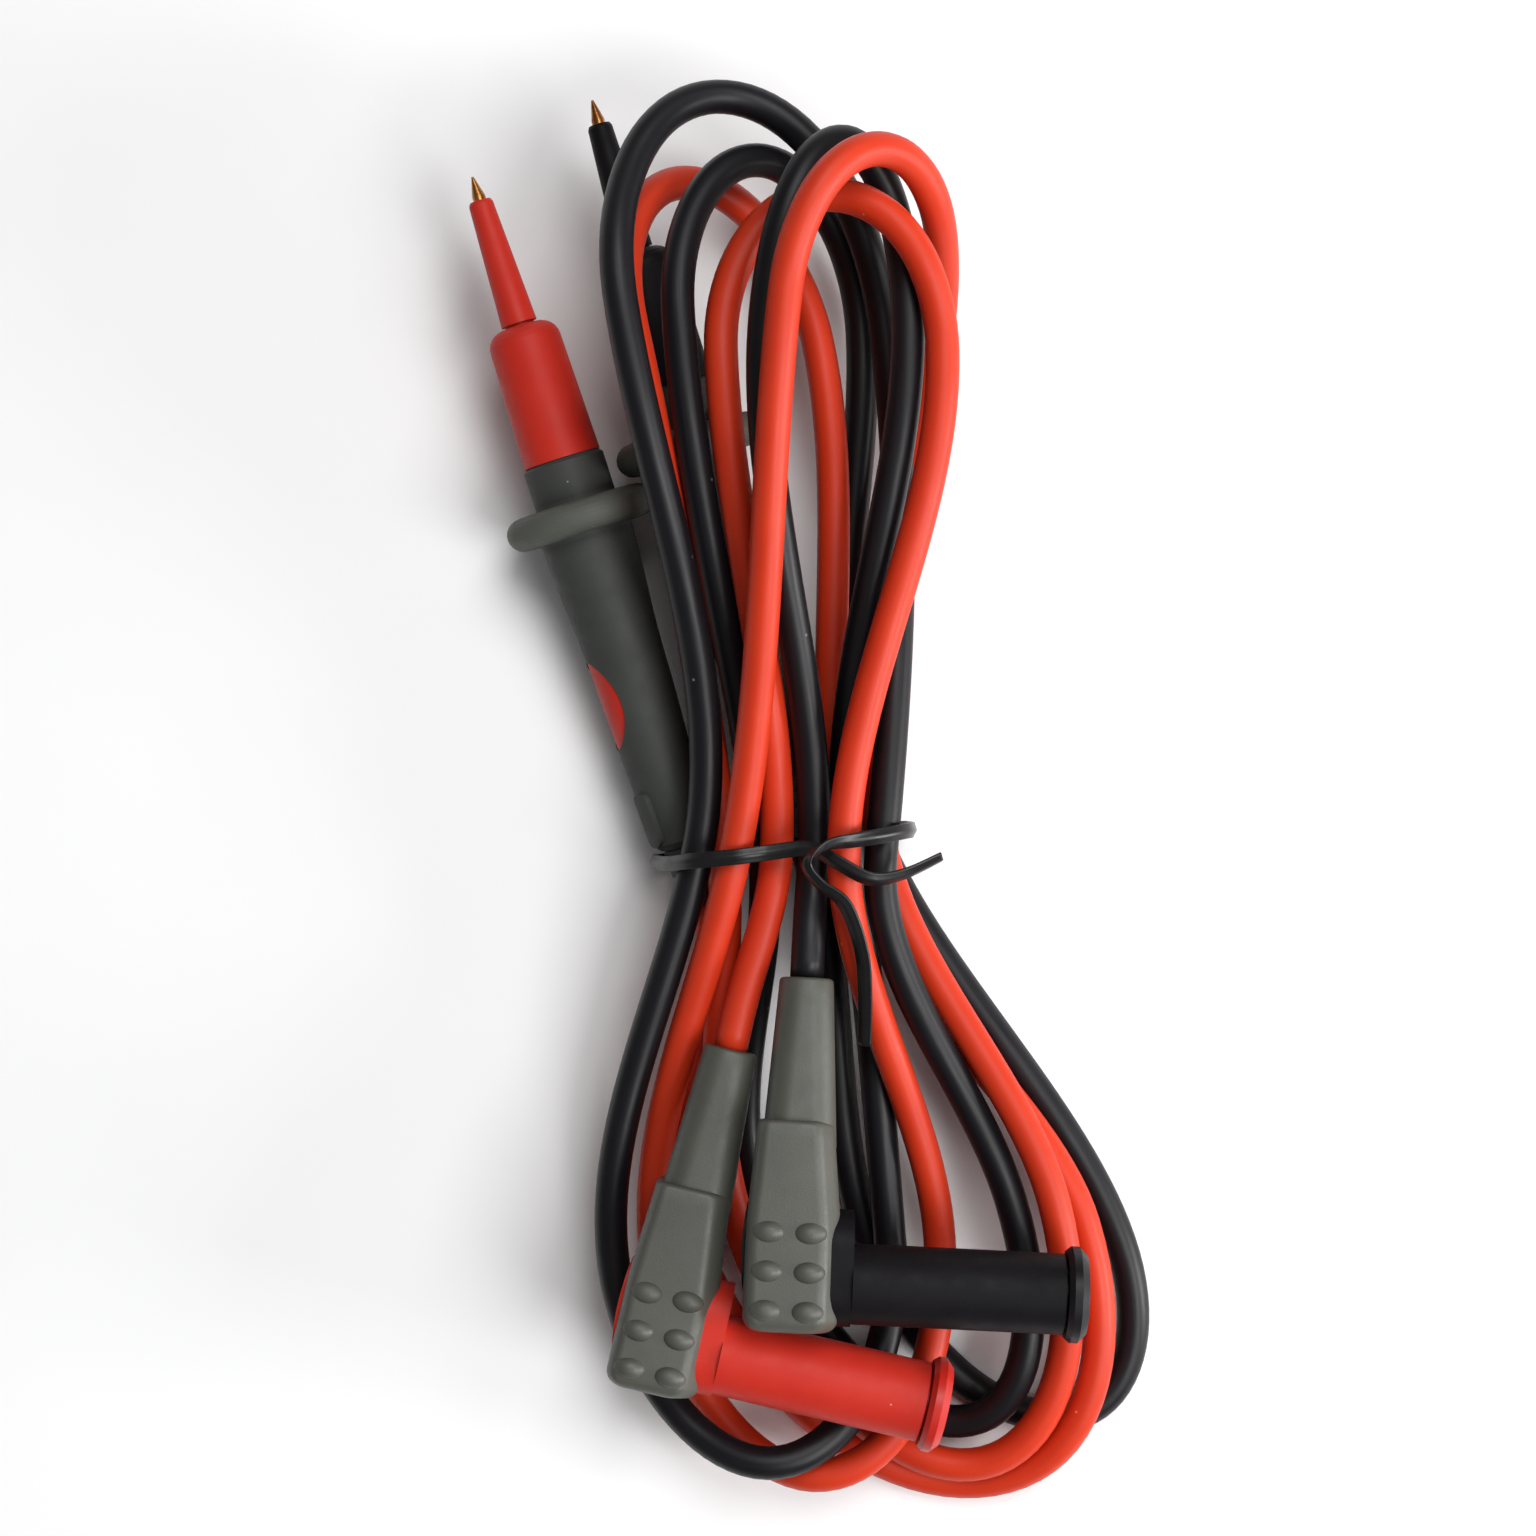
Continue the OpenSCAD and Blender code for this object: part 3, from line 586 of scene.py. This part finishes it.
def metal(name, base, tarnish, rough, scale):
    """Plated metal with fine turning marks and slight tarnish."""
    look = Look(name)
    look.shader.inputs["Metallic"].default_value = 1.0
    look.colour(look.mix(look.spread(look.noise(scale, 4), 0.35, 0.7, 0.0, 1.0), base, tarnish))
    look.roughness(look.spread(look.noise(scale * 4, 4), 0.3, 0.7, rough - 0.08, rough + 0.1))
    look.normal(look.bump(look.noise(scale * 12, 2), 0.15, 0.00003))
    return look.material


HANDLE_GREY = linear(58, 60, 58)
HANDLE_WORN = linear(65, 67, 64)
HANDLE_DUST = linear(136, 136, 124)
# Paler tone painted on the guard: finger wear, and a painted highlight where the raised guard catches the
# light
GUARD_WEAR_AND_HIGHLIGHT = linear(88, 90, 83)
HANDLE_FINISH = (0.58, 0.5, 0.25)

LOOKS = {
    "red_moulding": moulded(
        "red_moulding", linear(198, 45, 31), linear(190, 40, 27), linear(222, 128, 108), 0.5, 0.3, 0.25
    ),
    "red_cap": moulded(
        "red_cap", linear(190, 36, 26), linear(182, 32, 23), linear(226, 130, 112), 0.36, 0.15, 0.3
    ),
    "black_moulding": moulded(
        "black_moulding", linear(16, 14, 17), linear(21, 19, 22), linear(112, 110, 104), 0.52, 0.3, 0.13
    ),
    "black_cap": moulded(
        "black_cap", linear(15, 13, 16), linear(20, 18, 21), linear(104, 102, 98), 0.42, 0.2, 0.25
    ),
    "grip_rubber": moulded("grip_rubber", HANDLE_GREY, HANDLE_WORN, HANDLE_DUST, *HANDLE_FINISH),
    "plug_rubber": moulded(
        "plug_rubber", linear(72, 73, 66), linear(79, 80, 72), linear(150, 150, 138), 0.48, 0.5, 0.55
    ),
    "red_jacket": jacket(
        "red_jacket", linear(205, 54, 22), linear(197, 48, 19), linear(232, 146, 120), 0.46, 0.3
    ),
    "black_jacket": jacket(
        "black_jacket", linear(14, 13, 17), linear(19, 18, 22), linear(100, 100, 100), 0.42, 0.3
    ),
    "tie_plastic": moulded(
        "tie_plastic", linear(16, 16, 18), linear(22, 22, 24), linear(100, 100, 98), 0.34, 0.2, 0.4
    ),
    "gold_plating": metal("gold_plating", linear(206, 142, 78), linear(136, 84, 46), 0.3, 500),
    "pin_plating": metal("pin_plating", linear(200, 196, 186), linear(160, 155, 146), 0.28, 400),
    "bare_metal": metal("bare_metal", linear(176, 170, 160), linear(140, 132, 122), 0.38, 400),
}

for i, lead in enumerate(LEADS):
    LOOKS[f"{lead}_grip"] = guarded(
        f"{lead}_grip", i, HANDLE_GREY, HANDLE_WORN, GUARD_WEAR_AND_HIGHLIGHT, HANDLE_DUST, *HANDLE_FINISH
    )

SLOTS = {
    "probe_needle": "gold_plating",
    "tip_sleeve": "moulding",
    "probe_core": "moulding",
    "probe_grip": "grip",
    "probe_boot": "grip_rubber",
    "probe_ferrule": "bare_metal",
    "plug_pin": "pin_plating",
    "plug_spring": "gold_plating",
    "plug_body": "moulding",
    "plug_ferrule": "bare_metal",
    "plug_cap": "cap",
}


def dress(obj, slot):
    obj.data.materials.clear()
    obj.data.materials.append(LOOKS[slot])


def stand_in(obj, slot, node):
    """Dress a piece made here, which takes the place of a fixed node."""
    dress(obj, slot)
    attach(obj, "leads")
    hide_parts(node)


for lead in LEADS:
    for piece, slot in SLOTS.items():
        own = slot in ("moulding", "cap", "grip")
        dress(nodes[f"{lead}_{piece}"], f"{lead}_{slot}" if own else slot)

# Cables
for i, lead in enumerate(LEADS):
    line = [p * MM for p in cable_route(i)]
    cable = sweep(f"{lead}_cable_jacket", line, ring(CABLE_D / 2 * MM, CABLE_SIDES))
    stand_in(cable, f"{lead}_jacket", f"{lead}_cable")


def plug_axes(i):
    """The plug's own directions: along its pin, along its tail, and up."""
    turn = math.radians(PLUG_TURN[i])
    across = Vector((math.cos(turn), math.sin(turn), 0))
    along = plug_dir(i)
    return across, along, across.cross(along)


def on_plug(i, x, y, z):
    across, along, up = plug_axes(i)
    return (Vector(PLUG_AXIS[i]) + across * x + along * y + up * z) * MM


# Grips of the plugs: tapering blocks with bevelled edges and oval bumps
def grip_edges(y):
    for (y0, l0, r0), (y1, l1, r1) in zip(GRIP_PLAN, GRIP_PLAN[1:]):
        if y <= y1:
            t = (y - y0) / (y1 - y0)
            return l0 + (l1 - l0) * t, r0 + (r1 - r0) * t
    return GRIP_PLAN[-1][1:]


def grip_ring(i, y, inset):
    left, right = grip_edges(y)
    left, right, half = left + inset, right - inset, GRIP_T / 2 - inset
    lw, lh = GRIP_EDGE_LEFT
    rw, rh = GRIP_EDGE_RIGHT
    corners = [
        (right, half - rh), (right - rw, half), (left + lw, half), (left, half - lh),
        (left, lh - half), (left + lw, -half), (right - rw, -half), (right, rh - half),
    ]
    outline = softened(corners, GRIP_EDGE_R, 6)
    return [on_plug(i, x, y, z) for x, z in outline]


def grip_skin(i, name):
    low, high = GRIP_PLAN[0][0], GRIP_PLAN[-1][0]
    stations = []
    for turn in range(0, 90, 15):
        a = math.radians(turn)
        stations.append((low + GRIP_LOW_R * (1 - math.sin(a)), GRIP_LOW_R * (1 - math.cos(a))))
    stations.reverse()
    flat = high - GRIP_TOP_R - low - GRIP_LOW_R
    for k in range(1, GRIP_STEPS + 1):
        stations.append((low + GRIP_LOW_R + flat * k / GRIP_STEPS, 0))
    for turn in range(30, 91, 30):
        a = math.radians(turn)
        stations.append((high - GRIP_TOP_R * (1 - math.sin(a)), GRIP_TOP_R * (1 - math.cos(a))))
    skin = loft(name, [grip_ring(i, y, inset) for y, inset in stations])
    bumps = []
    for x in BUMP_ROWS:
        for y in BUMP_STEPS:
            for face in (1, -1):
                bumps.append(bump_skin(i, f"{name}_bump", x, y, face))
    return joined(skin, bumps)


def bump_skin(i, name, x, y, face):
    """An oval bump, the top of an ellipsoid that is sunk in the grip's face."""
    middle = GRIP_T / 2 + BUMP_H - BUMP_W / 2
    rings = []
    for k in range(1, BUMP_RINGS):
        a = BUMP_SUNK * (1 - k / BUMP_RINGS)
        long, wide = BUMP_LEN / 2 * math.sin(a), BUMP_W / 2 * math.sin(a) * face
        z = face * (middle + BUMP_W / 2 * math.cos(a))
        rings.append([on_plug(i, x + long * c, y + wide * d, z) for c, d in ring(1, BUMP_SIDES)])
    return loft(name, rings)


# Tails of the plugs, smooth and with a rolled lip round the cable
def tail_skin(i, name):
    low = TAIL_END - TAIL_LEN - TAIL_ROOT
    straight = TAIL_END - TAIL_LIP - low
    stations = [(low + straight * k / TAIL_STEPS, 0) for k in range(TAIL_STEPS + 1)]
    for turn in (30, 60, 90):
        a = math.radians(turn)
        stations.append((TAIL_END - TAIL_LIP * (1 - math.sin(a)), TAIL_LIP * (1 - math.cos(a))))
    rings = []
    for y, inset in stations:
        width = TAIL_ROOT_W + (TAIL_END_W - TAIL_ROOT_W) * (y - low) / (TAIL_END - low)
        outline = rounded_square(width - 2 * inset, TAIL_CORNER - inset, 12)
        rings.append([on_plug(i, a, y, b) for a, b in reversed(outline)])
    return loft(name, rings)


for i, lead in enumerate(LEADS):
    stand_in(grip_skin(i, f"{lead}_grip_skin"), "plug_rubber", f"{lead}_plug_grip")
    stand_in(tail_skin(i, f"{lead}_tail_skin"), "plug_rubber", f"{lead}_plug_tail")

# Twist tie
tie_line = [p * MM for p in smooth(TIE_ROUTE, TIE_STEPS)]


def tie_face(i):
    """The way that the ribbon's width points at a step of the smooth line."""
    at = i / TIE_STEPS
    for (k0, a), (k1, b) in zip(TIE_FACES, TIE_FACES[1:]):
        if at <= k1:
            return Vector(a).lerp(Vector(b), (at - k0) / (k1 - k0))
    return Vector(TIE_FACES[-1][1])


tie_outline = ribbon(TIE_WIDE * MM, TIE_THICK * MM, TIE_EDGE * MM, TIE_SIDES)
stand_in(sweep("twist_tie_ribbon", tie_line, tie_outline, tie_face), "tie_plastic", "twist_tie")

# Floor, light and camera
floor_look = Look("floor")
floor_look.colour(floor_look.mix(floor_look.noise(30, 3), linear(246, 246, 247), linear(250, 250, 250)))
floor_look.shader.inputs["Roughness"].default_value = FLOOR_ROUGH
floor = new_object(
    "floor",
    [Vector((x * HALF_FLOOR, y * HALF_FLOOR, 0)) for x, y in ((-1, -1), (1, -1), (1, 1), (-1, 1))],
    [(0, 1, 2, 3)],
)
floor.data.materials.append(floor_look.material)


def area_light(name, place, aim, size, power):
    data = bpy.data.lights.new(name, "AREA")
    data.size = size
    data.energy = power
    lamp = bpy.data.objects.new(name, data)
    lamp.location = place
    lamp.rotation_euler = (Vector(aim) - Vector(place)).to_track_quat("-Z", "Y").to_euler()
    bpy.context.scene.collection.objects.link(lamp)


for light in LIGHTS:
    area_light(*light)
world = bpy.data.worlds.new("studio")
world.use_nodes = True
world.node_tree.nodes["Background"].inputs["Color"].default_value = (1.0, 1.0, 1.0, 1.0)
world.node_tree.nodes["Background"].inputs["Strength"].default_value = SKY
bpy.context.scene.world = world
bpy.context.scene.view_settings.view_transform = "Standard"

camera_data = bpy.data.cameras.new("camera")
camera_data.sensor_width = SENSOR
camera_data.lens = FOCAL_PIXELS / PHOTO_SIDE * SENSOR
camera = bpy.data.objects.new("camera", camera_data)
camera.location = (0, 0, CAMERA_HEIGHT)
bpy.context.scene.collection.objects.link(camera)
bpy.context.scene.camera = camera
